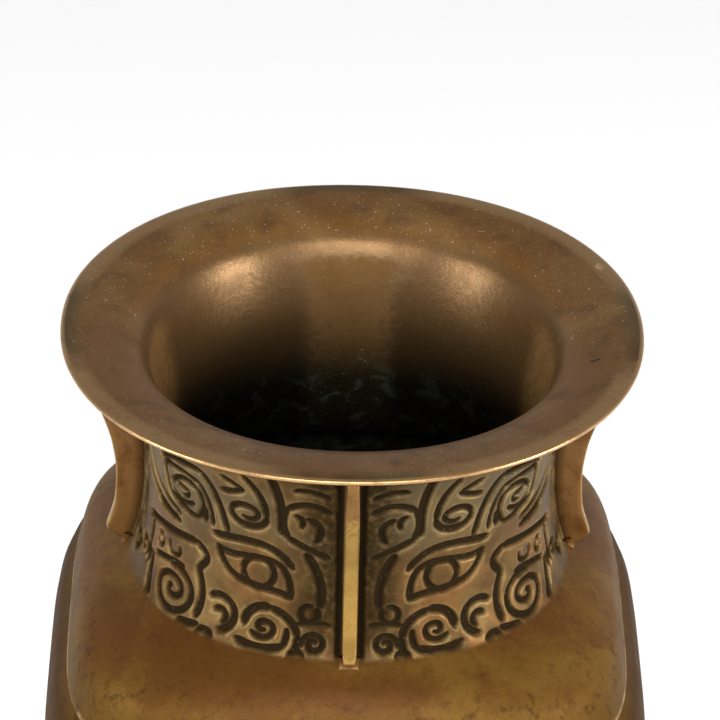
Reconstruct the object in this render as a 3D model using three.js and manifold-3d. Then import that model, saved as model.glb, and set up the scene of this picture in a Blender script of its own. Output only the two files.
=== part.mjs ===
// Cast brass vase: round flared mouth, neck with a carved mask band and four upright flanges,
// rounded-square shoulder and body, flared foot. Millimetres, +Z up, base on z = 0, front toward -Y.
import * as THREE from 'three';
import Module from 'manifold-3d';

const wasm = await Module();
wasm.setup();

const HEIGHT = 290;
const NECK_LENGTH = 69;          // from the rim down to the ledge at the foot of the neck
const SHOULDER_LENGTH = 25;      // from that ledge down to the sharp edge
const MOUTH_RADIUS = 80;
const NECK_RADIUS = 57.3;        // at its narrowest
const NECK_FOOT_RADIUS = 61.4;
const SHOULDER_HALF = 78.5;      // half width at the sharp edge
const EDGE_STEP = 1.1;           // how far the wall steps in under the sharp edge
const BELLY_HALF = 85;
const WAIST_HALF = 55.2;
const FOOT_HALF = 67.6;
const LIP_THICKNESS = 1.7;
const LIP_ROUND = 0.7;
const WALL = 2.6;
const BASE_THICKNESS = 3.4;
const CARVE_DEPTH = 1.1;         // how deep the band is cut
const CARVE_LIFT = 0.6;          // how far a cutter stands clear of the surface
const FLANGE_HALF = 2.0;         // half of a flange's thickness
const FLANGE_REACH = 7.4;        // how far it stands out near the foot of the neck
const FLANGE_SINK = 1.9;         // how deep its root sits in the wall
const PAD_HALF = 2.7;            // half width of the little block that a flange ends on
const FACETS_OUTSIDE = 44;
const FACETS_INSIDE = 32;

const BODY_LENGTH = HEIGHT - NECK_LENGTH - SHOULDER_LENGTH;

// Distance below the rim of a station: 0 is the rim, 1 the ledge, 2 the sharp edge, 3 the underside
function depthAt(station) {
  if (station <= 1) return station * NECK_LENGTH;
  if (station <= 2) return NECK_LENGTH + (station - 1) * SHOULDER_LENGTH;
  return NECK_LENGTH + SHOULDER_LENGTH + (station - 2) * BODY_LENGTH;
}

// Rings of one stretch of the outline. Each is [station, share of the way from one half width to
// the other, roundness of the plan]; a roundness of 2 is a circle, 4 a square with generous corners.
function stretch(from, to, rings) {
  return rings.map(([station, share, roundness]) => [depthAt(station), from + (to - from) * share, roundness]);
}

const OUTSIDE = [
  [0, MOUTH_RADIUS - LIP_ROUND, 2.1],
  [LIP_THICKNESS * 0.41, MOUTH_RADIUS, 2.1],
  [LIP_THICKNESS, MOUTH_RADIUS - LIP_ROUND, 2.1],
  ...stretch(NECK_RADIUS, MOUTH_RADIUS, [
    [0.0565, 0.551, 2.1], [0.1159, 0.247, 2.1], [0.2174, 0.093, 2.1], [0.3768, 0.018, 2.1],
  ]),
  ...stretch(NECK_RADIUS, NECK_FOOT_RADIUS, [[0.6232, 0, 2.12], [0.8406, 0.317, 2.18], [1, 1, 2.29]]),
  ...stretch(NECK_FOOT_RADIUS, SHOULDER_HALF, [
    [1.096, 0.234, 2.4], [1.224, 0.538, 2.85], [1.48, 0.83, 3.6], [2, 1, 4.12],
  ]),
  ...stretch(SHOULDER_HALF - EDGE_STEP, BELLY_HALF, [
    [2.0061, 0, 4.1], [2.023, 0.434, 4.1], [2.0612, 0.829, 4.1], [2.1224, 1, 4.1],
  ]),
  ...stretch(BELLY_HALF, WAIST_HALF, [
    [2.2143, 0.05, 4.1], [2.3367, 0.282, 3.9], [2.5612, 0.792, 3.4], [2.6837, 0.97, 3.3], [2.7551, 1, 3.3],
  ]),
  ...stretch(WAIST_HALF, FOOT_HALF, [
    [2.8469, 0.25, 3.3], [2.949, 0.806, 3.3], [2.9561, 0.952, 3.3], [3, 1, 3.3],
  ]),
];

// One value of a ring list at a distance below the rim
function ringAt(rings, below, column) {
  if (below <= rings[0][0]) return rings[0][column];
  for (let i = 1; i < rings.length; i++) {
    if (below <= rings[i][0]) {
      const share = (below - rings[i - 1][0]) / (rings[i][0] - rings[i - 1][0]);
      return rings[i - 1][column] + share * (rings[i][column] - rings[i - 1][column]);
    }
  }
  return rings[rings.length - 1][column];
}

// The hollow follows the outside. Each ring is [station, how much more than the plain wall lies
// between the two, measured level, roundness of the plan].
const INSIDE = [
  [0, MOUTH_RADIUS - LIP_ROUND * 1.9, 2.1],
  ...[
    [0.013, 8.5, 2.1], [0.0391, 11.2, 2.1], [0.0812, 6.6, 2.1], [0.1594, 3.6, 2.1], [0.29, 3.7, 2.1],
    [0.4493, 4.8, 2.1], [0.6957, 4.3, 2.1], [0.9565, 1, 2.2], [1.064, 2.7, 2.25], [1.196, 3, 2.4],
    [1.312, 1.3, 2.8], [1.536, 0.4, 3.55], [2.0117, 0.4, 4.1], [2.1224, 0, 4.1], [2.2194, -0.2, 4.1],
    [2.5612, 0, 3.4], [2.7245, 0.2, 3.3], [2.8571, 0.2, 3.3],
  ].map(([station, extra, roundness]) => {
    const below = depthAt(station);
    return [below, ringAt(OUTSIDE, below, 1) - WALL - extra, roundness];
  }),
  [HEIGHT - BASE_THICKNESS, FOOT_HALF - WALL - 1.4, 3.3],
];

// Distance from the axis to a plan of half width a and roundness n, toward an angle
function planRadius(a, n, angle) {
  const c = Math.abs(Math.cos(angle)) ** n;
  const s = Math.abs(Math.sin(angle)) ** n;
  return a / (c + s) ** (1 / n);
}

// A closed solid from stacked closed loops with the same number of points, listed from top to
// bottom and running counter-clockwise seen from above
function stackedSolid(loops) {
  const count = loops[0].length;
  const points = loops.flat(2);
  const faces = [];
  for (let i = 0; i + 1 < loops.length; i++) {
    for (let j = 0; j < count; j++) {
      const k = (j + 1) % count;
      const a = i * count + j;
      const b = i * count + k;
      const c = a + count;
      const d = b + count;
      faces.push(a, c, b, b, c, d);
    }
  }
  const last = (loops.length - 1) * count;
  for (let j = 1; j + 1 < count; j++) {
    faces.push(0, j, j + 1);
    faces.push(last, last + j + 1, last + j);
  }
  const mesh = new wasm.Mesh({
    numProp: 3,
    vertProperties: new Float32Array(points),
    triVerts: new Uint32Array(faces),
  });
  return new wasm.Manifold(mesh);
}

function ringLoop(below, a, n, around) {
  const loop = [];
  for (let j = 0; j < around; j++) {
    const angle = (j / around) * 2 * Math.PI;
    const r = planRadius(a, n, angle);
    loop.push([r * Math.cos(angle), r * Math.sin(angle), HEIGHT - below]);
  }
  return loop;
}

// The wall: the outside form less the hollow, which runs a little past the top of the rim
function wall() {
  const outside = stackedSolid(OUTSIDE.map(([below, a, n]) => ringLoop(below, a, n, FACETS_OUTSIDE)));
  const above = ringLoop(-LIP_THICKNESS, INSIDE[0][1], INSIDE[0][2], FACETS_INSIDE);
  const hollow = stackedSolid([above, ...INSIDE.map(([below, a, n]) => ringLoop(below, a, n, FACETS_INSIDE))]);
  return outside.subtract(hollow);
}

// A flange's outer edge, as [station, share of its reach beyond the neck]. The last two cut its
// lower end back, so that the outer corner stands clear of the shoulder.
const FLANGE_EDGE = [
  [0.042, -0.15], [0.0638, 0.9], [0.2174, 1.88], [0.4058, 1.56], [0.5507, 1.19], [0.6812, 1], [0.8261, 0.96],
  [0.9565, 1], [0.9928, 0.53], [1.064, -0.24],
];
const PAD_EDGE = [[0.98, 0.18], [1.072, -0.1]];

// A rectangle in plan that reaches out of the wall toward -Y, as one loop
function plateLoop(below, root, outer, half) {
  const z = HEIGHT - below;
  return [[-half, -root, z], [-half, -outer, z], [half, -outer, z], [half, -root, z]];
}

// One flange on the -Y side, rooted in the wall, with the block that it ends on
function flange() {
  const blade = FLANGE_EDGE.map(([station, share]) => {
    const below = depthAt(station);
    const surface = ringAt(OUTSIDE, below, 1);
    const slim = station < 0.15 || station > 0.87 ? 0.85 : 1;
    const sink = FLANGE_SINK * (station < 0.15 ? 2.2 : 1.2);
    return plateLoop(below, surface - sink, surface + share * FLANGE_REACH, FLANGE_HALF * slim);
  });
  const pad = PAD_EDGE.map(([station, share]) => {
    const below = depthAt(station);
    const surface = ringAt(OUTSIDE, below, 1);
    return plateLoop(below, surface - FLANGE_SINK * 0.9, surface + share * FLANGE_REACH, PAD_HALF);
  });
  return stackedSolid(blade).add(stackedSolid(pad));
}

// The carved band. A cut is laid out on the neck as [degrees from the front flange, distance
// below the rim]; on this neck a degree is close to a millimetre, so both read as sizes.
const NECK_ROWS = 69;            // the cuts are drawn on this many rows from the rim to the ledge

// An arc from one point to another; rise is its greatest distance to the left of the chord
function bow(t0, h0, t1, h1, rise, width, stations) {
  const line = [];
  const length = Math.hypot(t1 - t0, h1 - h0);
  for (let i = 0; i <= stations; i++) {
    const u = i / stations;
    const lift = rise * 4 * u * (1 - u) / length;
    line.push([t0 + (t1 - t0) * u + (h1 - h0) * lift, h0 + (h1 - h0) * u - (t1 - t0) * lift]);
  }
  return { line, width };
}

// A scroll that winds in from radius outer to inner; squash flattens it in height, start and
// turns are in turns, and a negative number of turns winds the other way
function curl(t, h, outer, inner, start, turns, squash, width) {
  const line = [];
  const stations = Math.max(4, Math.round(Math.abs(turns) * 6.5));
  for (let i = 0; i <= stations; i++) {
    const u = i / stations;
    const r = outer + (inner - outer) * u;
    const angle = 2 * Math.PI * (start + turns * u);
    line.push([t + r * Math.cos(angle), h + r * squash * Math.sin(angle)]);
  }
  return { line, width };
}

const CUTS = [
  // eye, its two sides and the brow over it
  bow(38.4, 42.2, 16, 52.7, -6.4, 1.6, 4),
  bow(38.4, 42.2, 16, 52.7, 4.2, 1.6, 3),
  bow(29.4, 42.2, 29.2, 51.2, 0, 1.4, 1),
  bow(20.9, 43.2, 21.2, 51.4, 0, 1.4, 1),
  bow(39.8, 39.3, 15.2, 43.2, -5, 1.6, 4),
  // beside the nose: two leaves, a stroke, their border and the long slot
  bow(16.2, 18.4, 5.9, 18.4, -4.1, 1.8, 3),
  bow(17.4, 24.4, 6.2, 23.6, -3.2, 1.6, 3),
  bow(6.5, 33, 11, 26.6, 1.6, 1.5, 2),
  bow(20.2, 12.6, 19.2, 31.6, 0.5, 1.6, 2),
  bow(12, 38.9, 9.2, 54.4, -1.3, 2.4, 2),
  // hooked scroll over the eye
  bow(25.6, 13.4, 22.7, 28.5, -0.9, 1.6, 2),
  curl(28.8, 28.1, 6.2, 1.5, 0.5, -1.3, 0.7, 1.6),
  // large scroll and the ray that sweeps round it
  bow(58.5, 24, 38.6, 24.6, -3.3, 1.6, 3),
  curl(50, 30.4, 9, 1.6, 0.4, 1.5, 0.72, 1.7),
  bow(63.5, 26.8, 46.5, 39, 5, 1.6, 4),
  // snout: long slot, its hook, the S that turns down from it and the lower scroll
  bow(68, 46.7, 46, 45, 0.3, 1.7, 2),
  bow(46, 45, 43.2, 52.2, -2.8, 1.6, 2),
  bow(43.2, 52.2, 43.2, 65.4, -1.7, 1.6, 2),
  curl(52.2, 61.9, 6.2, 1.5, 0.62, -1.4, 0.78, 1.7),
  bow(61.9, 65.4, 48.6, 53.8, -2.7, 1.6, 3),
  // two scrolls under the eye
  curl(35, 61.8, 4.6, 1.6, 0.85, -1.1, 1.1, 1.6),
  bow(29.2, 61, 14.1, 63.2, -6.4, 1.6, 4),
  curl(22.6, 62.3, 4.8, 1.5, 0.95, 1.2, 0.82, 1.6),
  // column beside the side flange
  bow(74.6, 38, 76, 56, 1.4, 2, 2),
];

// A point of the neck, moved out of the surface by lift, mirrored by the signs
function neckPoint(t, h, lift, signX, signY) {
  const angle = (t * Math.PI) / 180;
  const below = depthAt(h / NECK_ROWS);
  const r = planRadius(ringAt(OUTSIDE, below, 1), ringAt(OUTSIDE, below, 2), angle) + lift;
  return [signX * r * Math.sin(angle), signY * r * Math.cos(angle), HEIGHT - below];
}

// A V-shaped cutter along a cut, thin and shallow at its two ends
function cutter(cut, signX, signY) {
  const { line, width } = cut;
  const loops = line.map(([t, h], i) => {
    const before = line[Math.max(0, i - 1)];
    const after = line[Math.min(line.length - 1, i + 1)];
    const dt = after[0] - before[0];
    const dh = after[1] - before[1];
    const length = Math.hypot(dt, dh);
    const end = i === 0 || i === line.length - 1;
    const depth = CARVE_DEPTH * (end ? 0.4 : 1);
    const half = (width / 2) * (NECK_LENGTH / NECK_ROWS) * (end ? 0.45 : 1) * (1 + CARVE_LIFT / depth);
    const sideT = (-dh / length) * half;
    const sideH = (dt / length) * half;
    return [
      neckPoint(t + sideT, h + sideH, CARVE_LIFT, signX, signY),
      neckPoint(t - sideT, h - sideH, CARVE_LIFT, signX, signY),
      neckPoint(t, h, -depth, signX, signY),
    ];
  });
  const flip = signX * signY > 0;
  return stackedSolid(flip ? loops.map(([p, q, r]) => [q, p, r]) : loops);
}

function bodySolid() {
  let solid = wall();
  for (const [signX, signY] of [[-1, -1], [1, -1], [-1, 1], [1, 1]]) {
    let cuts = null;
    for (const cut of CUTS) {
      const piece = cutter(cut, signX, signY);
      cuts = cuts ? cuts.add(piece) : piece;
    }
    solid = solid.subtract(cuts);
  }
  const blade = flange();
  for (const turn of [0, 90, 180, 270]) {
    solid = solid.add(blade.rotate([0, 0, turn]));
  }
  return solid;
}

function toGeometry(solid) {
  const mesh = solid.getMesh();
  const geometry = new THREE.BufferGeometry();
  geometry.setAttribute('position', new THREE.BufferAttribute(new Float32Array(mesh.vertProperties), 3));
  geometry.setIndex(new THREE.BufferAttribute(new Uint32Array(mesh.triVerts), 1));
  geometry.computeVertexNormals();
  return geometry;
}

const brass = new THREE.MeshStandardMaterial({ color: 0x7a5526, roughness: 0.42, metalness: 0.9 });
const vase = new THREE.Mesh(toGeometry(bodySolid()), brass);
vase.name = 'vase';

const group = new THREE.Group();
group.add(vase);

export default group;
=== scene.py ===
# A cast brass vase seen from above its flared mouth: carved mask band, four flanges, rounded-square body.
import math

import bpy
import numpy as np
from mathutils import Matrix, Vector


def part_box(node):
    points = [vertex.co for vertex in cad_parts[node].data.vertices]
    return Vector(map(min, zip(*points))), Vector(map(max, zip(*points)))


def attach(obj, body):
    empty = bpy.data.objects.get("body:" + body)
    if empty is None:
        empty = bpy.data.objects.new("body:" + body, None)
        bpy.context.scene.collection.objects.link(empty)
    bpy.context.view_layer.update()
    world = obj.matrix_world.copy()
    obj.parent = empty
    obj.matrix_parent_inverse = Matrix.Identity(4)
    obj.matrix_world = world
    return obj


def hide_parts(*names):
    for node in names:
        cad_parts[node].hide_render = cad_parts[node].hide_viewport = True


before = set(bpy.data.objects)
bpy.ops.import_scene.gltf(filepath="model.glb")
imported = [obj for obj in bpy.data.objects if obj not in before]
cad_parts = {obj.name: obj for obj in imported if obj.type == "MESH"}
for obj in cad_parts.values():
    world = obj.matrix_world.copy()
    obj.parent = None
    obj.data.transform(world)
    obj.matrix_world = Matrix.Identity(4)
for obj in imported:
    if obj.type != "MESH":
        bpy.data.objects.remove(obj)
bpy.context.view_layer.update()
boxLow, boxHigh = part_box("vase")
tall = 290  # height of the vase, mm
mm = (boxHigh[2] - boxLow[2]) / tall
top = boxHigh[2]  # height of the rim
print("frame loaded")

# Every ring is (mm below the rim, half width in mm, roundness of the plan): 2 is a circle, 4 a soft square.
form = {
    "lip": [(0, 78.7, 2.1), (0.12, 79.45, 2.1), (0.7, 80, 2.1), (1.35, 79.85, 2.1), (1.7, 79.3, 2.1)],
    "neck": [
        (3.9, 69.8, 2.1), (8, 62.9, 2.1), (15, 59.4, 2.1), (26, 57.7, 2.1), (43, 57.3, 2.12), (58, 58.6, 2.18),
        (66, 60.4, 2.25), (69.4, 61.8, 2.29), (70.4, 63.3, 2.34),
    ],
    "ledge": [(69.4, 61.8, 2.29), (70.4, 63.3, 2.34), (71.4, 65.2, 2.4)],
    "shoulder": [(71.4, 65.2, 2.4), (72.6, 67.5, 2.55), (74.6, 70.6, 2.85), (81, 75.6, 3.6), (94, 78.5, 4.12)],
    "step": [(94, 78.5, 4.12), (94.3, 78.35, 4.12), (94.9, 77.5, 4.1), (95.2, 77.4, 4.1), (95.7, 77.7, 4.1)],
    "body": [
        (95.7, 77.7, 4.1), (98.5, 80.7, 4.1), (106, 83.7, 4.1), (118, 85, 4.1), (136, 83.5, 4.1),
        (160, 76.6, 3.9), (204, 61.4, 3.4), (228, 56.1, 3.3), (242, 55.2, 3.3), (260, 58.3, 3.3),
        (280, 65.2, 3.3),
    ],
    "foot rim": [
        (280, 65.2, 3.3), (280.5, 66.4, 3.3), (281.4, 67, 3.3), (289.2, 67.55, 3.3), (289.8, 67.3, 3.3),
    ],
    "inside": [
        (0, 78.7, 2.1), (0.30, 74.0, 2.1), (0.9, 68.8, 2.1), (1.8, 64.0, 2.1), (2.7, 61.2, 2.1),
        (3.6, 59.6, 2.1), (4.8, 58.3, 2.1), (6.6, 57.1, 2.1), (9.5, 55.8, 2.1), (14, 54.1, 2.1),
        (19.5, 52.4, 2.1), (25, 51.0, 2.1), (31, 50.2, 2.1), (40, 50.0, 2.1), (48, 50.8, 2.1),
        (57, 53.2, 2.1), (66, 57.0, 2.2),
        (70.6, 58.8, 2.25), (73.9, 63.8, 2.4), (76.8, 68.4, 2.8), (82.4, 72.9, 3.55), (96.3, 74.9, 4.1),
        (104, 79.8, 4.1), (118, 82.4, 4.1), (137, 80.9, 4.1), (204, 58.8, 3.4), (236, 52.8, 3.3),
        (262, 56.2, 3.3), (285.8, 63.2, 3.3),
    ],
    "inner floor": 286.6,  # mm below the rim
}


def slopes(x, y):
    # slopes of a curve through the points that never overshoots them
    gap = np.diff(x)
    rise = np.diff(y) / gap
    m = np.zeros(len(x))
    m[0], m[-1] = rise[0], rise[-1]
    same = rise[:-1] * rise[1:] > 0
    w1 = 2 * gap[1:] + gap[:-1]
    w2 = gap[1:] + 2 * gap[:-1]
    safe = np.where(same, rise[:-1] * rise[1:], 1)
    m[1:-1] = np.where(same, (w1 + w2) * safe / (w1 * rise[1:] + w2 * rise[:-1] + 1e-12 * ~same), 0)
    return m


def smoothLine(x, y, at):
    # value of that curve at each place
    x, y, at = np.asarray(x, float), np.asarray(y, float), np.asarray(at, float)
    m = slopes(x, y)
    k = np.clip(np.searchsorted(x, at) - 1, 0, len(x) - 2)
    g = x[k + 1] - x[k]
    u = (at - x[k]) / g
    return (
        y[k] * (1 + 2 * u) * (1 - u) ** 2 + m[k] * g * u * (1 - u) ** 2
        + y[k + 1] * u**2 * (3 - 2 * u) + m[k + 1] * g * u**2 * (u - 1)
    )


def smoothRings(rings, count):
    # the same stretch of the outline with that many rings, evenly spaced along it
    rings = np.array(rings, float)
    along = np.concatenate([[0], np.cumsum(np.hypot(np.diff(rings[:, 0]), np.diff(rings[:, 1])))])
    at = np.linspace(0, along[-1], count)
    return np.stack([smoothLine(along, rings[:, k], at) for k in range(3)], -1)


def planRadius(half, roundness, turn):
    # how far out a ring lies at each turn
    c = np.abs(np.cos(turn)) ** roundness
    s = np.abs(np.sin(turn)) ** roundness
    return half / (c + s) ** (1 / roundness)


def ringPoints(ring, columns):
    # one ring in metres; it starts at the front and runs toward the left
    turn = np.arange(columns) / columns * 2 * math.pi
    r = planRadius(ring[1], ring[2], turn) * mm
    return np.stack([-r * np.sin(turn), -r * np.cos(turn), np.full(columns, top - ring[0] * mm)], -1)


# The carved band of one quarter is laid out as (degrees from the front flange, mm below the rim).
# On this neck a degree is close to a millimetre, so both read as sizes.
band = {
    "top": 9.6,  # mm below the rim
    "foot": 69.4,
    "depth": 1.3,  # how deep the lines are cut, mm
    "slope": 0.52,  # half the width of a line's sloping side, mm
    "broader": 0.42,  # how much wider each side of a line is than drawn, mm
    "fineEnd": (0.35, 1.6),  # width of a line's tip as a share, and how long it takes to widen, mm
    "wornTops": (0.22, 0.6),  # how much wear lowers the ground beside a line, and how far it reaches, mm
    "fade": (1.2, 0.5),  # over how many mm the cutting begins at the top and ends at the foot
    "darkening": (0.42, 0.60),  # from a line's edge, where the dirt begins and how soon it is full, mm
    "columns": 300,  # fine columns in a quarter, before thinning
    "rows": 206,
    "kept": 0.22,  # share of the faces that thinning keeps
}
far = 9.0  # mm, stands for the distance of a point that no line is near


def bow(t0, h0, t1, h1, rise, width, lean=0.0):
    # an arc between two points; rise is its height beside the chord, lean shifts its crown
    length = math.hypot(t1 - t0, h1 - h0)
    u = np.linspace(0, 1, 22)
    lift = rise * 4 * u * (1 - u) * (1 + lean * (2 * u - 1)) / length
    return np.stack([t0 + (t1 - t0) * u + (h1 - h0) * lift, h0 + (h1 - h0) * u - (t1 - t0) * lift], -1), width


def curl(t, h, outer, inner, start, turns, squash, width):
    # a scroll that winds in from one radius to another; start and turns are in turns
    u = np.linspace(0, 1, max(10, int(abs(turns) * 34)))
    r = outer + (inner - outer) * u
    a = 2 * math.pi * (start + turns * u)
    return np.stack([t + r * np.cos(a), h + r * squash * np.sin(a)], -1), width


def maskLines():
    # every cut line of the quarter, as its points and its width
    eye = [
        bow(38, 42.8, 16, 53, -6.0, 1.0, 1.0),
        bow(38, 42.8, 16, 53, 3.3, 1.0, -1.05),
        curl(25.4, 47, 4.5, 4.5, 0, 1.02, 1.02, 0.9),  # iris
        bow(39.4, 39.2, 15.8, 43.9, -3.8, 1.2, 0.6),  # brow
    ]
    nose = [
        bow(14.8, 18.2, 5.9, 20.0, -1.0, 1.0),
        bow(17.2, 24.8, 5.6, 25.0, -2.1, 1.1),
        bow(17.4, 24.8, 17.0, 34.3, 1.3, 1.1),  # round boss
        bow(17.0, 34.3, 5.9, 39.6, 0.2, 1.1),
        bow(14.8, 26.8, 13.3, 30.2, -0.9, 1.0),
        bow(11.6, 27.6, 9.4, 34.6, -2.4, 1.2),
        bow(12, 39.2, 7.8, 54.8, -1.6, 1.7),
        curl(10.6, 57.4, 2.5, 2.3, 0.72, 0.9, 1, 0.9),
        bow(13.8, 60.6, 5.4, 60.2, -0.5, 0.5),
        curl(9.2, 65.8, 3.3, 0.8, 0.02, -1.35, 0.9, 0.9),
        bow(2.9, 9, 2.9, 68.8, 0, 1.0),
    ]
    hookedScroll = [
        bow(29.4, 17.0, 23.2, 28.6, -1.3, 1.0),
        curl(28.6, 29.5, 5.4, 5.2, 0.5, -0.5, 0.66, 1.1),
        curl(28.9, 29.4, 5.0, 1.8, 0, -0.85, 0.68, 0.8),
        bow(22.4, 13.0, 18.8, 33, -1.2, 1.6),
        bow(36.4, 19.4, 30, 21.9, -0.3, 0.7),
        bow(36.6, 24, 30, 21.9, 0.3, 0.7),
    ]
    largeScroll = [
        bow(62, 25.2, 44, 21.2, -1.1, 0.9),
        bow(44, 21.2, 35, 37, -1.6, 1.1, -0.3),
        bow(60.4, 26.2, 45, 25.6, -0.7, 0.6),
        bow(45, 25.6, 40, 36.6, -1.2, 0.7),
        bow(60.4, 26.4, 57.6, 34.4, 0.3, 0.8),
        bow(57.6, 34.4, 46, 37.1, 0.6, 0.7),
        bow(56.4, 30.4, 45.5, 28.2, -2.0, 0.6),
        bow(45.5, 28.2, 45.2, 36.6, -1.8, 0.7),
        bow(43.3, 32.6, 42.8, 36.4, 0, 1.8),
        bow(53.6, 29.9, 48.9, 30.8, -0.2, 0.5),
        bow(48.9, 30.8, 51.0, 32.6, -0.6, 0.5),
        bow(55.4, 33.2, 47.2, 33.4, 1.5, 0.6),
    ]
    rays = [
        bow(71.6, 26, 53, 39.4, 3.0, 0.8, -0.2),
        bow(76, 29, 53, 41.9, 3.2, 1.1, -0.2),
        bow(64, 40.6, 55, 41.8, 0.2, 1.4),
    ]
    snout = [
        bow(70, 48.8, 45.8, 45, 0, 1.3),
        bow(45.8, 45, 44.4, 52.4, -3.4, 1.2),
        bow(44.4, 52.4, 42.6, 65.8, -1.6, 1.3),
        bow(67.4, 50.4, 67.6, 62.4, 0.3, 1.2),
        curl(61.8, 52.6, 1.7, 1.4, 0.85, -0.75, 1.2, 0.4),
        curl(54.4, 51.2, 2.6, 2.4, 0.95, 0.6, 0.9, 0.4),
        bow(63.4, 57.6, 50, 54.8, -0.3, 0.9),  # dark pockets
        bow(65.4, 58.6, 62, 69.2, 0.6, 1.8),
        bow(47.6, 68.8, 41.6, 67.6, 0.3, 1.0),
        curl(52.2, 62.2, 7.2, 6.4, 0.82, -0.86, 0.88, 1.0),
        curl(52.8, 62.5, 5.6, 0.8, 0.96, -1.1, 0.72, 0.8),
    ]
    underEye = [
        curl(35.8, 62, 4.8, 4.6, 0.86, -0.57, 1, 1.1),
        curl(35.6, 63, 2.0, 2.0, 0.87, -0.5, 1, 0.9),
        curl(22.4, 62.6, 5.8, 5.8, 0, -0.28, 1, 1.4),
        bow(21.2, 56.9, 13.5, 64, -1.5, 1.2),
        bow(13.5, 64, 14.6, 69.2, -0.4, 1.2),
        bow(29.5, 67.3, 17.4, 67.2, 1.1, 1.2),
        bow(17.4, 67.2, 16.6, 62.6, 0.4, 0.9),
        curl(22.8, 62.8, 3.6, 0.8, 0.1, 1.2, 0.85, 0.7),
        bow(40.8, 69.2, 39, 67.8, -0.2, 1.1),
        bow(39, 67.8, 36.6, 69.2, -0.2, 1.1),
        bow(15.4, 69.2, 12, 69.2, -1.2, 0.9),
    ]
    besideFlange = [
        curl(79, 29, 4.6, 0.9, 0.9, 1.3, 1.1, 1.4),
        bow(84, 19, 73, 19, -3.0, 1.5),
        bow(74.6, 37, 76, 55, 1.4, 1.8),
        bow(81, 38, 81.5, 56, -1.0, 1.5),
        curl(72, 60, 2.6, 0.9, 0.4, 0.9, 1, 1.2),
        curl(78.8, 63.5, 3.8, 0.9, 0.5, 1.2, 1, 1.3),
        bow(86.8, 11, 86.8, 68, 0, 1.0),
    ]
    return eye + nose + hookedScroll + largeScroll + rays + snout + underEye + besideFlange


def lineDistance(t, h, line, width):
    # distance in mm from each point to the edge of a cut line, below 0 inside it
    reach = width / 2 + 2.2
    near = (
        (t > line[:, 0].min() - reach) & (t < line[:, 0].max() + reach)
        & (h > line[:, 1].min() - reach) & (h < line[:, 1].max() + reach)
    )
    out = np.full(t.shape, far)
    p = np.stack([t[near], h[near]], -1)[:, None, :]
    a, b = line[None, :-1], line[None, 1:]
    d = b - a
    u = np.clip(((p - a) * d).sum(-1) / (d**2).sum(-1), 0, 1)
    gap = np.linalg.norm(p - a - u[..., None] * d, axis=-1)
    step = np.linalg.norm(np.diff(line, axis=0), axis=1)
    along = np.concatenate([[0], np.cumsum(step)])
    here = along[:-1] + u * step
    end = np.minimum(here, along[-1] - here)
    share, length = band["fineEnd"]
    half = width / 2 * np.clip(share + end / length, 0, 1)
    out[near] = (gap - half).min(1)
    return out


def carving(t, h):
    # signed distance to the nearest cut line, for points of the band
    out = np.full(t.shape, far)
    for line, width in maskLines():
        out = np.minimum(out, lineDistance(t, h, line, width))
    return out


def carvedDepth(distance, h):
    # how deep each point is cut in mm, and how dirty it is from 0 to 1
    slope = band["slope"]
    distance = distance - band["broader"]
    u = np.clip((slope - distance) / (2 * slope), 0, 1)
    cut = u * u * (3 - 2 * u)
    lowered, reach = band["wornTops"]
    worn = lowered * np.exp(-np.maximum(distance, 0) / reach)
    start, stop = band["fade"]
    foot = np.clip((band["foot"] - h) / stop, 0, 1)
    fade = np.clip((h - band["top"]) / start, 0, 1) * foot
    begin, full = band["darkening"]
    darkening = np.clip((begin - distance) / full, 0, 1)
    return (band["depth"] * cut + worn * (1 - cut)) * fade, darkening * foot**0.5


def quarterGrid():
    # the front left quarter of the band as a fine grid, wrapped on the neck and cut
    columns, rows = band["columns"] + 1, band["rows"]
    t, h = np.meshgrid(np.linspace(0, 90, columns), np.linspace(band["top"], band["foot"], rows))
    t, h = t.ravel(), h.ravel()
    depth, _ = carvedDepth(carving(t, h), h)
    neck = np.array(form["neck"], float)
    half = smoothLine(neck[:, 0], neck[:, 1], h)
    roundness = smoothLine(neck[:, 0], neck[:, 2], h)
    turn = np.radians(t)
    r = (planRadius(half, roundness, turn) - depth) * mm
    points = np.stack([-r * np.sin(turn), -r * np.cos(turn), top - h * mm], -1)
    j, i = np.meshgrid(np.arange(columns - 1), np.arange(rows - 1))
    a = (i * columns + j).ravel()
    b = a + 1
    c = a + columns
    d = c + 1
    faces = np.concatenate([np.stack([a, b, d], -1), np.stack([a, d, c], -1)])
    order = np.arange(rows * columns)
    edge = (order % columns % (columns - 1) == 0) | (order < columns) | (order >= (rows - 1) * columns)
    return points, faces, edge


def thinned(points, faces, edge):
    # fewer faces where the grid is plain; the border stays as it is
    mesh = bpy.data.meshes.new("quarter")
    mesh.from_pydata(points.tolist(), [], faces.tolist())
    obj = bpy.data.objects.new("quarter", mesh)
    bpy.context.scene.collection.objects.link(obj)
    group = obj.vertex_groups.new(name="free")
    group.add(np.flatnonzero(~edge).tolist(), 1.0, "REPLACE")
    thin = obj.modifiers.new("thin", "DECIMATE")
    thin.ratio = band["kept"]
    thin.vertex_group = "free"
    thin.vertex_group_factor = 1.0
    thin.use_collapse_triangulate = True
    done = obj.evaluated_get(bpy.context.evaluated_depsgraph_get()).to_mesh()
    p = np.empty(len(done.vertices) * 3)
    done.vertices.foreach_get("co", p)
    f = np.array([list(poly.vertices) for poly in done.polygons])
    bpy.data.objects.remove(obj)
    bpy.data.meshes.remove(mesh)
    return p.reshape(-1, 3), f


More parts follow.
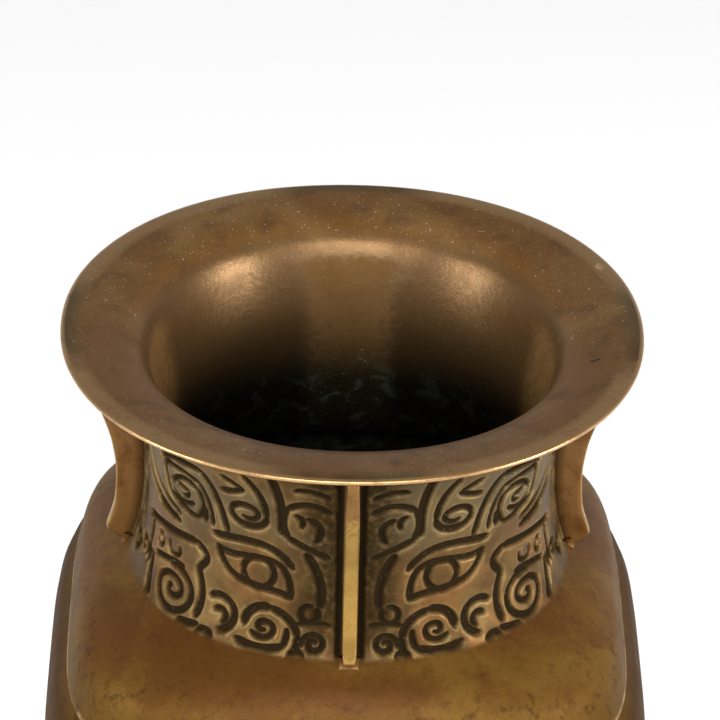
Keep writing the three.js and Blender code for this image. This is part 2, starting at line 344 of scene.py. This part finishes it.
class Skin:
    # gathers points and faces of the one mesh
    def __init__(self):
        self.points, self.faces, self.count = [], [], 0
        self.insideFrom = 0  # number of the first point of the inner surface

    def add(self, points):
        self.points.append(points)
        self.count += len(points)
        return np.arange(self.count - len(points), self.count)

    def strip(self, upper, lower):
        # quads between two rings with the same number of columns
        self.faces += np.stack([upper, np.roll(upper, -1), np.roll(lower, -1), lower], -1).tolist()

    def fan(self, ring, middle):
        # triangles from a ring to its middle point
        self.faces += [[int(a), int(b), int(middle)] for a, b in zip(ring, np.roll(ring, -1))]

    def join(self, coarse, fine, fineBelow):
        # triangles between a coarse ring and a fine one with a whole number of columns to each coarse one
        share = len(fine) // len(coarse)
        for j in range(len(coarse)):
            a, b = int(coarse[j]), int(coarse[(j + 1) % len(coarse)])
            f = [int(fine[(j * share + k) % len(fine)]) for k in range(share + 1)]
            half = (share + 1) // 2
            tris = [[a, f[k], f[k + 1]] for k in range(half)] + [[a, f[half], b]]
            tris += [[b, f[k], f[k + 1]] for k in range(half, share)]
            self.faces += [tri[::-1] for tri in tris] if fineBelow else tris


plain = {  # how fine the plain surfaces are
    "columns": 240,
    "rings": {"lip": 7, "ledge": 7, "shoulder": 20, "step": 7, "body": 36, "foot rim": 8, "inside": 66},
    "neckRings": 220,  # fine rings from the lip to the ledge, of which the part above the band keeps some
    "neckEvery": 3,
    "weld": 0.002,  # points closer than this are one, mm
}


def bandRings(skin):
    # four mirrored copies of the carved quarter, welded, and its top and bottom rows in order
    points, faces = thinned(*quarterGrid())
    allPoints = np.concatenate([points * s for s in ((1, 1, 1), (1, -1, 1), (-1, -1, 1), (-1, 1, 1))])
    n = len(points)
    allFaces = np.concatenate([faces, faces[:, ::-1] + n, faces + 2 * n, faces[:, ::-1] + 3 * n])
    key = np.round(allPoints / (plain["weld"] * mm)).astype(np.int64)
    _, first, same = np.unique(key, axis=0, return_index=True, return_inverse=True)
    welded = allPoints[first]
    start = skin.count
    skin.add(welded)
    skin.faces += (same.reshape(-1)[allFaces] + start).tolist()
    rows = []
    for h in (band["top"], band["foot"]):
        row = np.flatnonzero(np.abs(welded[:, 2] - (top - h * mm)) < 2 * plain["weld"] * mm)
        turn = np.arctan2(-welded[row, 0], -welded[row, 1]) % (2 * math.pi)
        turn[turn > 2 * math.pi - 1e-6] = 0  # the front column comes first
        rows.append(row[np.argsort(turn)] + start)
    return rows


def wallSkin():
    # the whole casting but its flanges
    skin = Skin()

    def ringAt(ring):
        return skin.add(ringPoints(ring, plain["columns"]))

    def carryOn(last, rings, inward=False):
        # strips from the last ring through the new ones
        for ring in rings:
            here = ringAt(ring)
            skin.strip(*((here, last) if inward else (last, here)))
            last = here
        return last

    def close(last, below, inset, inward=False):
        # a flat end: one smaller ring, then its middle
        name = "inside" if inward else "foot rim"
        last = carryOn(last, [(below, form[name][-1][1] - inset, form[name][-1][2])], inward)
        middle = skin.add(np.array([[0, 0, top - below * mm]]))
        skin.fan(last[::-1] if inward else last, middle[0])

    # outside, from the rim down
    rimTop = ringAt(form["lip"][0])
    last = carryOn(rimTop, smoothRings(form["lip"], plain["rings"]["lip"])[1:])
    under = smoothRings([form["lip"][-1]] + form["neck"], plain["neckRings"])
    every = plain["neckEvery"]
    last = carryOn(last, under[under[:, 0] < band["top"] - 0.2][every::every])
    bandTop, bandFoot = bandRings(skin)
    print("neck band carved")
    skin.join(last, bandTop, True)
    ledge = smoothRings(form["ledge"], plain["rings"]["ledge"])
    last = ringAt(ledge[1])
    skin.join(last, bandFoot, False)
    last = carryOn(last, ledge[2:])
    for name in ("shoulder", "step", "body", "foot rim"):
        last = carryOn(last, smoothRings(form[name], plain["rings"][name])[1:])
    close(last, tall, 0.5)
    # inside, from the rim down
    skin.insideFrom = skin.count
    last = carryOn(rimTop, smoothRings(form["inside"], plain["rings"]["inside"])[1:], inward=True)
    close(last, form["inner floor"], 1.0, inward=True)
    return skin


flange = {
    # its outer edge, as (mm below the rim, mm from the middle of the vase)
    "edge": [(2.9, 73), (4.4, 75.6), (15, 73.3), (28, 69.2), (38, 66.2), (47, 65.1), (57, 65.6), (66, 68)],
    "end": [(67.0, 67.4), (68.2, 65.9), (69.6, 63.9), (70.6, 62.3)],  # lower end, cut back inward
    "rings": 40,
    "half": 2.0,  # half its thickness, mm
    "slim": 0.78,  # its thickness at the two ends, as a share
    "corner": 0.55,  # rounding of its edges, mm
    "sunk": 1.9,  # how far its root goes into the neck, mm
    "lipFoot": 8,  # down to here the root follows the lip, mm below the rim
    "lipRoot": 67.5,  # where it starts there, and how fast it comes in
    "lipSlope": 2.2,
}


def quarterTurned(points, turns):
    # points turned about the middle of the vase by whole quarters
    c, s = round(math.cos(turns * math.pi / 2)), round(math.sin(turns * math.pi / 2))
    points[:, :2] = points[:, :2] @ np.array([[c, s], [-s, c]])
    return points


def flangeBlade(skin, turns):
    # one rounded blade from under the lip to the ledge
    edge = np.array(flange["edge"], float)
    end = np.array(flange["end"], float)
    neck = np.array(form["neck"], float)
    first, lowest, lipFoot = edge[0, 0], edge[-1, 0], flange["lipFoot"]
    below = np.concatenate([np.linspace(first, lowest, flange["rings"]), end[:, 0]])
    outer = smoothLine(edge[:, 0], edge[:, 1], np.clip(below, first, lowest))
    outer[-len(end):] = end[:, 1]
    root = smoothLine(neck[:, 0], neck[:, 1], np.clip(below, neck[0, 0], 69)) - flange["sunk"]
    high = below < lipFoot
    root[high] = np.maximum(root[high], flange["lipRoot"] - flange["lipSlope"] * (below[high] - first))
    swell = np.clip((below - lipFoot) / 14, 0, 1) * np.clip((72 - below) / 16, 0, 1)
    thick = flange["half"] * (flange["slim"] + (1 - flange["slim"]) * swell**0.5)
    k = flange["corner"]
    rings = []
    for b, o, r, w in zip(below, outer, root, thick):
        half = [(w, r), (w, (r + o) / 2), (w, o - 3 * k), (w, o - k), (w - 0.3 * k, o - 0.3 * k), (w - k, o)]
        side = [(-x, y) for x, y in half] + half[::-1]
        points = np.array([(x * mm, -y * mm, top - b * mm) for x, y in side])
        rings.append(skin.add(quarterTurned(points, turns))[::-1])
    for a, b in zip(rings, rings[1:]):
        skin.strip(a, b)
    skin.faces += [rings[0].tolist(), rings[-1][::-1].tolist()]


pad = {"half": 2.7, "top": 67.6, "foot": 71.8, "reach": 62.9, "spread": 1.2, "root": 60.6}


def flangePad(skin, turns):
    # the small block that a flange ends on
    corners = []
    half, root = pad["half"], pad["root"]
    for below, reach in ((pad["top"], pad["reach"]), (pad["foot"], pad["reach"] + pad["spread"])):
        plan = ((-half, root), (-half, reach), (half, reach), (half, root))
        corners += [(x * mm, -y * mm, top - below * mm) for x, y in plan]
    ids = skin.add(quarterTurned(np.array(corners), turns))
    upper, lower = ids[:4][::-1], ids[4:][::-1]
    skin.strip(upper, lower)
    skin.faces += [upper.tolist(), lower[::-1].tolist()]


def blend(x, low, high):
    # 0 below low, 1 above high, smooth between
    u = np.clip((x - low) / (high - low), 0, 1)
    return u * u * (3 - 2 * u)


traces = {  # where wear and painted shade sit; distances in mm, turns in degrees from the front flange
    "ridge": (0.85, 0.35),  # worn ridge: from a line's edge to its middle, and its width
    "shadeFront": (8, 19, 0.85),  # painted shade beside the front and back flanges: fades between two turns, and its strength
    # painted shade beside the side flanges: fades between two turns, and its strength
    "shadeSide": (64, 80, 0.75),
    "shadeTop": (10, 20, 0.25),  # painted shade under the lip: fades between two heights below the rim
    "shadeFoot": (60, 69, 0.6),  # here the painted shade thins out by that share
    "rim": (78.9, 79.5),  # the bright lip edge begins at this radius and is full at this one
    "rimFoot": (1.7, 2.0),  # and ends between these heights
    "edges": [(93.9, 0.55, 1.0), (281, 0.7, 0.5)],  # shoulder and foot: height, width, strength
    "face": (-0.6, -0.1),  # how near the outer edge of a flange counts as its face
}


def surfaceMarks(points):
    # how deep in a line, how near a worn ridge and how much painted shade each point gets, from 0 to 1
    below = (top - points[:, 2]) / mm
    radius = np.hypot(points[:, 0], points[:, 1]) / mm
    turn = np.degrees(np.arctan2(-points[:, 0], -points[:, 1]))
    quarter = 90 - np.abs((turn % 180) - 90)
    neck = np.array(form["neck"], float)
    inBand = (below > band["top"] - 0.1) & (below < band["foot"] + 0.1)
    height = np.clip(below, 4, 69)
    half = smoothLine(neck[:, 0], neck[:, 1], height)
    roundness = smoothLine(neck[:, 0], neck[:, 2], height)
    surface = planRadius(half, roundness, np.radians(quarter))
    onNeck = inBand & (np.abs(radius - surface) < 1.6) & (radius > surface - 1.35)
    distance = np.full(len(points), far)
    distance[onNeck] = carving(quarter[onNeck], below[onNeck])
    _, cut = carvedDepth(distance, np.where(inBand, below, 40))
    recess = np.where(onNeck, cut, 0)
    middle, width = traces["ridge"]
    worn = np.where(onNeck, np.exp(-(((distance - middle) / width) ** 2)), 0)
    # painted shade beside the flanges and under the lip, on the band only
    start, stop, strength = traces["shadeFront"]
    paintedShade = strength * (1 - blend(quarter, start, stop))
    start, stop, strength = traces["shadeSide"]
    paintedShade = paintedShade + strength * blend(quarter, start, stop)
    start, stop, share = traces["shadeFoot"]
    paintedShade = paintedShade * (1 - share * blend(below, start, stop))
    start, stop, strength = traces["shadeTop"]
    paintedShade = np.where(inBand, paintedShade + strength * (1 - blend(below, start, stop)), 0)
    return recess, worn, paintedShade


def zoneMarks(points, wallCount, insideFrom):
    # the inner surface, the bright edges and the flanges, as values from 0 to 1
    below = (top - points[:, 2]) / mm
    radius = np.hypot(points[:, 0], points[:, 1]) / mm
    order = np.arange(len(points))
    isWall = order < wallCount
    isInner = isWall & (order >= insideFrom)
    lip = blend(radius, *traces["rim"]) * blend(below, -0.2, 0.1) * (1 - blend(below, *traces["rimFoot"]))
    edge = np.zeros(len(points))
    for height, width, strength in traces["edges"]:
        near = strength * np.exp(-(((below - height) / width) ** 2))
        edge = np.maximum(edge, np.where(isWall & ~isInner, near, 0))
    reach = np.maximum(np.abs(points[:, 0]), np.abs(points[:, 1])) / mm
    path = np.array(flange["edge"], float)
    out = np.interp(below, path[:, 0], path[:, 1])
    return {
        "inner": np.where(isInner, 1.0, 0.0),
        "rim": np.where(isWall, lip, 0),
        "edge": edge,
        "face": np.where(isWall, 0, blend(reach - out, *traces["face"])),
        "blade": np.where(isWall, 0.0, 1.0),
    }


def vaseMesh():
    skin = wallSkin()
    wallCount = skin.count
    for turns in range(4):
        flangeBlade(skin, turns)
        flangePad(skin, turns)
    points = np.concatenate(skin.points)
    mesh = bpy.data.meshes.new("vase")
    mesh.from_pydata(points.tolist(), [], skin.faces)
    mesh.update()
    recess, worn, paintedShade = surfaceMarks(points)
    for values in (recess, worn, paintedShade):
        values[wallCount:] = 0
    marks = {"recess": recess, "worn": worn, "paintedShade": paintedShade}
    marks.update(zoneMarks(points, wallCount, skin.insideFrom))
    for name, values in marks.items():
        layer = mesh.attributes.new(name, "FLOAT", "POINT")
        layer.data.foreach_set("value", values.astype(np.float32))
    mesh.shade_smooth()
    triangles = sum(len(face) - 2 for face in skin.faces)
    print("vase mesh:", len(points), "points,", triangles, "triangles")
    return mesh


patina = {
    "inside": (0.108, 0.048, 0.011),  # brown of the mouth
    "insidePale": (0.145, 0.078, 0.024),
    "insideDark": (0.060, 0.028, 0.008),  # blotches on the lip
    "wall": (0.116, 0.064, 0.024),  # polished slope below the bend of the mouth
    # painted shade: near black for the deep part of the mouth
    "throatShade": (0.010, 0.008, 0.004),
    "verdigris": (0.050, 0.062, 0.045),
    "neck": (0.058, 0.029, 0.007),  # tops of the carving
    "neckPale": (0.092, 0.052, 0.014),
    "neckOlive": (0.070, 0.052, 0.024),  # more of it high on the neck
    "neckWarm": (0.125, 0.055, 0.014),  # more of it low on the neck
    "recess": (0.014, 0.009, 0.004),  # dirt in the lines, also the colour of the painted shade beside the flanges and under the lip
    "worn": (0.240, 0.155, 0.060),  # ridges beside the lines
    "shoulder": (0.082, 0.032, 0.006),  # reddish brown beside the neck
    "shoulderGold": (0.125, 0.062, 0.010),
    "shoulderSpot": (0.034, 0.013, 0.003),
    "shoulderLow": (0.060, 0.030, 0.004),  # toward the sharp edge
    "body": (0.034, 0.014, 0.003),
    "rim": (0.400, 0.235, 0.105),
    "bladeSide": (0.130, 0.062, 0.018),
    "bladeFace": (0.290, 0.175, 0.045),
    "dust": (0.420, 0.380, 0.320),
    "specular": 0.12,
    "specularInside": 0.20,
    "roughness": 0.46,
    "roughnessWorn": 0.30,
    "metallic": 0.45,
    "metallicInside": 0.30,
    "metallicWorn": 0.95,
    "bump": 0.22,
    "bumpHeight": 0.0004,  # m
    "chip": (0.680, 0.400, 0.200),  # pale spot on the lip
    "scratch": (0.004, 0.002, 0.001),
}
lipSpots = {  # middle and half lengths in mm, and the turn in degrees
    "chip": ((70.0, 34.3, 289.9), (1.7, 2.0, 3.0), 0),
    "scratch": ((66.0, -15.4, 288.9), (1.8, 0.55, 3.0), 22),
}


class Paint:
    # short ways to wire one material
    def __init__(self, name):
        self.material = bpy.data.materials.new(name)
        self.material.use_nodes = True
        self.nodes = self.material.node_tree.nodes
        self.links = self.material.node_tree.links
        self.shader = self.nodes["Principled BSDF"]
        self.place = self.nodes.new("ShaderNodeTexCoord").outputs["Object"]

    def put(self, socket, value):
        # a link, a colour or a number, whichever the value is
        if hasattr(value, "links"):
            self.links.new(value, socket)
        elif isinstance(value, tuple) and len(value) == 3 and socket.type == "RGBA":
            socket.default_value = (*value, 1)
        else:
            socket.default_value = value

    def mark(self, name):
        # a value that the mesh carries
        node = self.nodes.new("ShaderNodeAttribute")
        node.attribute_name = name
        return node.outputs["Fac"]

    def math(self, kind, a, b=0.0, c=0.0):
        node = self.nodes.new("ShaderNodeMath")
        node.operation = kind
        for socket, value in zip(node.inputs, (a, b, c)):
            self.put(socket, value)
        return node.outputs[0]

    def ramp(self, value, low, high, first=0.0, last=1.0):
        # value remapped smoothly from low..high to first..last
        node = self.nodes.new("ShaderNodeMapRange")
        node.interpolation_type = "SMOOTHSTEP"
        names = ("Value", "From Min", "From Max", "To Min", "To Max")
        for name, setting in zip(names, (value, low, high, first, last)):
            self.put(node.inputs[name], setting)
        return node.outputs["Result"]

    def noise(self, size, detail=3.0, distortion=0.0, rough=0.55):
        # blotches about that many mm across
        node = self.nodes.new("ShaderNodeTexNoise")
        self.links.new(self.place, node.inputs["Vector"])
        node.inputs["Scale"].default_value = 1000 / size
        node.inputs["Detail"].default_value = detail
        node.inputs["Distortion"].default_value = distortion
        node.inputs["Roughness"].default_value = rough
        return node.outputs["Fac"]

    def spot(self, middle, reach, turn):
        # 1 inside a stretched ball, 0 outside
        node = self.nodes.new("ShaderNodeMapping")
        node.vector_type = "TEXTURE"
        self.links.new(self.place, node.inputs["Vector"])
        node.inputs["Location"].default_value = [v * mm for v in middle]
        node.inputs["Rotation"].default_value = (0, 0, math.radians(turn))
        node.inputs["Scale"].default_value = [v * mm for v in reach]
        length = self.nodes.new("ShaderNodeVectorMath")
        length.operation = "LENGTH"
        self.links.new(node.outputs["Vector"], length.inputs[0])
        return self.ramp(length.outputs["Value"], 0.75, 1.1, 1.0, 0.0)

    def mix(self, a, b, by):
        node = self.nodes.new("ShaderNodeMix")
        node.data_type = "RGBA"
        for socket, value in zip((node.inputs[0], node.inputs[6], node.inputs[7]), (by, a, b)):
            self.put(socket, value)
        return node.outputs[2]

    def times(self, a, b):
        return self.math("MULTIPLY", a, b)


def mouthColour(p, below, broad, blotch):
    # lip, polished slope and the dark throat, which is painted shade
    inside = p.mix(patina["inside"], patina["insidePale"], p.ramp(broad, 0.45, 0.72))
    inside = p.mix(inside, patina["insideDark"], p.times(p.ramp(blotch, 0.50, 0.70), 0.55))
    slope = p.times(p.ramp(below, 3, 9), p.ramp(blotch, 0.35, 0.65, 0.85, 0.6))
    inside = p.mix(inside, patina["wall"], slope)
    # painted shade: the mouth turns near black from 20 to 50 mm below the rim
    inside = p.mix(inside, patina["throatShade"], p.ramp(below, 20, 50))
    green = p.times(p.ramp(p.noise(7, 4, distortion=1.0), 0.50, 0.64), p.ramp(below, 38, 50))
    inside = p.mix(inside, patina["verdigris"], p.times(green, 0.35))
    for name, place in lipSpots.items():
        inside = p.mix(inside, patina[name], p.times(p.spot(*place), 0.9))
    return inside


def shoulderColour(p, below, broad, fine):
    # shoulder and body
    low = p.ramp(below, 72, 90)
    gold = p.math("MULTIPLY_ADD", low, 0.16, p.math("MULTIPLY_ADD", fine, 0.18, broad))
    outside = p.mix(patina["shoulder"], patina["shoulderGold"], p.ramp(gold, 0.52, 0.80))
    outside = p.mix(outside, patina["shoulderLow"], p.ramp(below, 74, 88, 0.0, 0.75))
    spots = p.ramp(p.noise(3.6, 6, distortion=0.15, rough=0.75), 0.50, 0.66)
    outside = p.mix(outside, patina["shoulderSpot"], p.times(spots, p.ramp(below, 71, 84, 0.25, 0.85)))
    return p.mix(outside, patina["body"], p.times(p.ramp(below, 95, 100), 0.8))


def neckColour(p, below, broad, blotch, darkening):
    # tops, worn ridges and dirty lines of the carving, and painted shade beside the flanges and under the lip
    neck = p.mix(patina["neck"], patina["neckPale"], p.ramp(blotch, 0.42, 0.62))
    olive = p.times(p.ramp(broad, 0.42, 0.58), p.ramp(below, 30, 44, 0.8, 0.1))
    neck = p.mix(neck, patina["neckOlive"], olive)
    warm = p.times(p.ramp(p.noise(12, 3), 0.45, 0.62), p.ramp(below, 36, 52, 0.1, 0.7))
    neck = p.mix(neck, patina["neckWarm"], warm)
    neck = p.mix(neck, patina["worn"], p.times(p.mark("worn"), p.ramp(blotch, 0.35, 0.65, 0.05, 0.60)))
    # the dirt in the lines and the painted shade beside the flanges and under the lip take the same near black
    # colour
    return p.mix(neck, patina["recess"], darkening)


def oldBrass():
    p = Paint("oldBrass")
    axes = p.nodes.new("ShaderNodeSeparateXYZ")
    p.links.new(p.place, axes.inputs[0])
    below = p.math("MULTIPLY_ADD", axes.outputs["Z"], -1 / mm, top / mm)  # mm under the rim
    broad = p.noise(34, 4, distortion=0.6)
    blotch = p.noise(9, 4, distortion=0.4)
    fine = p.noise(2.2, 3)
    grain = p.noise(0.5, 2)
    inner, blade = p.mark("inner"), p.mark("blade")
    outer = p.math("SUBTRACT", 1.0, inner)
    # painted shade beside the flanges and under the lip, broken up by noise, then joined with the dirt in the
    # lines
    paintedShade = p.times(p.mark("paintedShade"), p.ramp(fine, 0.30, 0.60, 0.6, 1.0))
    darkening = p.math("MAXIMUM", p.mark("recess"), paintedShade)
    inside = mouthColour(p, below, broad, blotch)
    outside = shoulderColour(p, below, broad, fine)
    neck = neckColour(p, below, broad, blotch, darkening)
    outside = p.mix(neck, outside, p.ramp(below, 69.1, 69.6))
    colour = p.mix(outside, inside, inner)
    # worn edges of the lip, the shoulder and the foot
    rim = p.ramp(p.math("MULTIPLY_ADD", fine, 0.5, blotch), 0.45, 0.75, 0.35, 1.0)
    edge = p.times(p.mark("edge"), p.ramp(blotch, 0.35, 0.60))
    worn = p.math("MAXIMUM", p.times(p.mark("rim"), rim), edge)
    colour = p.mix(colour, patina["rim"], worn)
    # flanges: a bright face, dull at the top and rubbed at both ends
    bright = p.ramp(p.math("MULTIPLY_ADD", blotch, 6.0, below), 18.5, 21.5, 0.12, 1.0)
    ends = p.math("MAXIMUM", p.ramp(below, 19, 27, 0.8, 0.15), p.ramp(below, 56, 67, 0.0, 0.6))
    rubbed = p.times(p.ramp(p.noise(1.5, 3, distortion=0.8), 0.47, 0.55), ends)
    bright = p.times(p.times(p.mark("face"), bright), p.math("SUBTRACT", 1.0, rubbed))
    side = p.mix(patina["bladeSide"], patina["shoulder"], p.ramp(blotch, 0.45, 0.65))
    colour = p.mix(colour, p.mix(side, patina["bladeFace"], bright), blade)
    # dust, most of it on the lip
    speck = p.times(p.ramp(p.noise(0.62, 0), 0.76, 0.80), p.ramp(broad, 0.35, 0.60, 0.15, 0.7))
    dusty = p.times(inner, p.ramp(below, 2, 8, 1.0, 0.25))
    colour = p.mix(colour, patina["dust"], p.times(speck, p.ramp(dusty, 0.0, 1.0, 0.12, 0.7)))
    p.put(p.shader.inputs["Base Color"], colour)
    # gloss: more on the slope of the mouth, less on the shoulder and none in the dirty lines and the painted
    # shade
    wall = p.times(inner, p.ramp(below, 3, 7))
    specular = p.ramp(inner, 0.0, 1.0, patina["specular"], patina["specularInside"])
    specular = p.math("MULTIPLY_ADD", wall, 0.20, specular)
    specular = p.times(specular, p.ramp(p.times(outer, below), 72, 86, 1.0, 0.3))
    p.shader.inputs["Specular IOR Level"].default_value = patina["specular"]
    p.put(p.shader.inputs["Specular IOR Level"], p.ramp(darkening, 0.0, 0.8, specular, 0.0))
    # bare metal where it is worn, patina elsewhere
    shine = p.math("MAXIMUM", worn, p.times(blade, bright))
    metallic = p.ramp(inner, 0.0, 1.0, patina["metallic"], patina["metallicInside"])
    metallic = p.math("MULTIPLY_ADD", wall, 0.38, metallic)
    lower = p.times(p.ramp(below, 69, 72, 1.0, 0.6), p.ramp(below, 94, 96, 1.0, 0.3))
    metallic = p.times(p.times(metallic, lower), p.ramp(darkening, 0.0, 0.8, 1.0, 0.1))
    p.put(p.shader.inputs["Metallic"], p.ramp(shine, 0.0, 1.0, metallic, patina["metallicWorn"]))
    rough = p.ramp(shine, 0.0, 1.0, patina["roughness"], patina["roughnessWorn"])
    rough = p.math("MULTIPLY_ADD", wall, -0.08, rough)
    rough = p.math("MULTIPLY_ADD", p.ramp(p.times(outer, below), 72, 86), 0.12, rough)
    rough = p.math("MULTIPLY_ADD", p.math("SUBTRACT", blotch, 0.5), 0.22, rough)
    p.put(p.shader.inputs["Roughness"], rough)
    bump = p.nodes.new("ShaderNodeBump")
    bump.inputs["Strength"].default_value = patina["bump"]
    bump.inputs["Distance"].default_value = patina["bumpHeight"]
    p.put(bump.inputs["Height"], p.math("MULTIPLY_ADD", grain, 0.25, fine))
    p.put(p.shader.inputs["Normal"], bump.outputs["Normal"])
    return p.material


vase = bpy.data.objects.new("castVase", vaseMesh())
bpy.context.scene.collection.objects.link(vase)
vase.data.materials.append(oldBrass())
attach(vase, "root")
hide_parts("vase")
print("vase placed")

view = {
    "distance": 1.300,  # from the centre of the rim, m
    "focal": 4737.7,  # in pixels of a 720 pixel frame
    "pitch": 0.54213,  # looking down, radians
    "roll": 0.02230,
    "yaw": -0.01837,
    "rimX": 352.42,  # where the centre of the rim falls in the frame
    "rimY": 324.73,
    "frame": 720,  # pixels each way
}


def addCamera():
    # the photograph's own view
    pitch, roll, yaw = view["pitch"], view["roll"], view["yaw"]
    forward = Vector((0, math.cos(pitch), -math.sin(pitch)))
    right = Vector((1, 0, 0))
    up = right.cross(forward)
    turn = Matrix.Rotation(yaw, 3, "Z")
    forward, right, up = turn @ forward, turn @ right, turn @ up
    right, up = right * math.cos(roll) + up * math.sin(roll), up * math.cos(roll) - right * math.sin(roll)
    aside = (view["rimX"] - view["frame"] / 2) / view["focal"] * view["distance"]
    below = (view["rimY"] - view["frame"] / 2) / view["focal"] * view["distance"]
    place = Vector((0, 0, top)) - forward * view["distance"] - right * aside + up * below
    data = bpy.data.cameras.new("camera")
    data.sensor_width = 36
    data.lens = view["focal"] / view["frame"] * data.sensor_width
    data.clip_end = 50
    camera = bpy.data.objects.new("camera", data)
    pose = Matrix((right, up, -forward)).transposed().to_4x4()
    pose.translation = place
    camera.matrix_world = pose
    bpy.context.scene.collection.objects.link(camera)
    bpy.context.scene.camera = camera


light = {
    "horizon": 1.0,  # brightness of the surroundings level with the vase
    "above": 0.46,  # and overhead
    "fade": (0.05, 0.38),  # where it begins and ends to change, as shares of straight up
    "aim": 0.27,  # the lamps look at this height above the floor, m
    "lamps": [  # name, place, width and height, watts
        ("leftSoftbox", (-1.25, -0.58, 0.53), (0.36, 0.42), 15),
        ("rightSoftbox", (1.25, -0.58, 0.53), (0.36, 0.42), 21),
        ("frontSoftbox", (-0.1, -1.9, 1.45), (1.8, 1.0), 58),
    ],
}


def addLights():
    world = bpy.data.worlds.new("studio")
    world.use_nodes = True
    nodes, links = world.node_tree.nodes, world.node_tree.links
    axes = nodes.new("ShaderNodeSeparateXYZ")
    links.new(nodes.new("ShaderNodeTexCoord").outputs["Generated"], axes.inputs[0])
    fall = nodes.new("ShaderNodeMapRange")
    fall.interpolation_type = "SMOOTHSTEP"
    links.new(axes.outputs["Z"], fall.inputs["Value"])
    fall.inputs["From Min"].default_value, fall.inputs["From Max"].default_value = light["fade"]
    fall.inputs["To Min"].default_value = light["horizon"]
    fall.inputs["To Max"].default_value = light["above"]
    nodes["Background"].inputs["Color"].default_value = (1, 1, 1, 1)
    links.new(fall.outputs["Result"], nodes["Background"].inputs["Strength"])
    bpy.context.scene.world = world
    for name, place, size, watts in light["lamps"]:
        data = bpy.data.lights.new(name, "AREA")
        data.shape = "RECTANGLE"
        data.size, data.size_y = size
        data.energy = watts
        lamp = bpy.data.objects.new(name, data)
        lamp.location = place
        look = Vector((0, 0, light["aim"])) - Vector(place)
        lamp.rotation_euler = look.to_track_quat("-Z", "Y").to_euler()
        bpy.context.scene.collection.objects.link(lamp)


ground = {"half": 6, "under": 0.0002, "tone": 0.94, "roughness": 0.9}  # lengths in m


def addFloor():
    mesh = bpy.data.meshes.new("floor")
    s = ground["half"]
    mesh.from_pydata([(-s, -s, 0), (s, -s, 0), (s, s, 0), (-s, s, 0)], [], [(0, 1, 2, 3)])
    floor = bpy.data.objects.new("floor", mesh)
    floor.location.z = boxLow[2] - ground["under"]
    bpy.context.scene.collection.objects.link(floor)
    material = bpy.data.materials.new("paleFloor")
    material.use_nodes = True
    shader = material.node_tree.nodes["Principled BSDF"]
    shader.inputs["Base Color"].default_value = (*[ground["tone"]] * 3, 1)
    shader.inputs["Roughness"].default_value = ground["roughness"]
    mesh.materials.append(material)


addCamera()
addLights()
addFloor()
bpy.context.scene.view_settings.view_transform = "Standard"
print("camera, lights and floor placed")
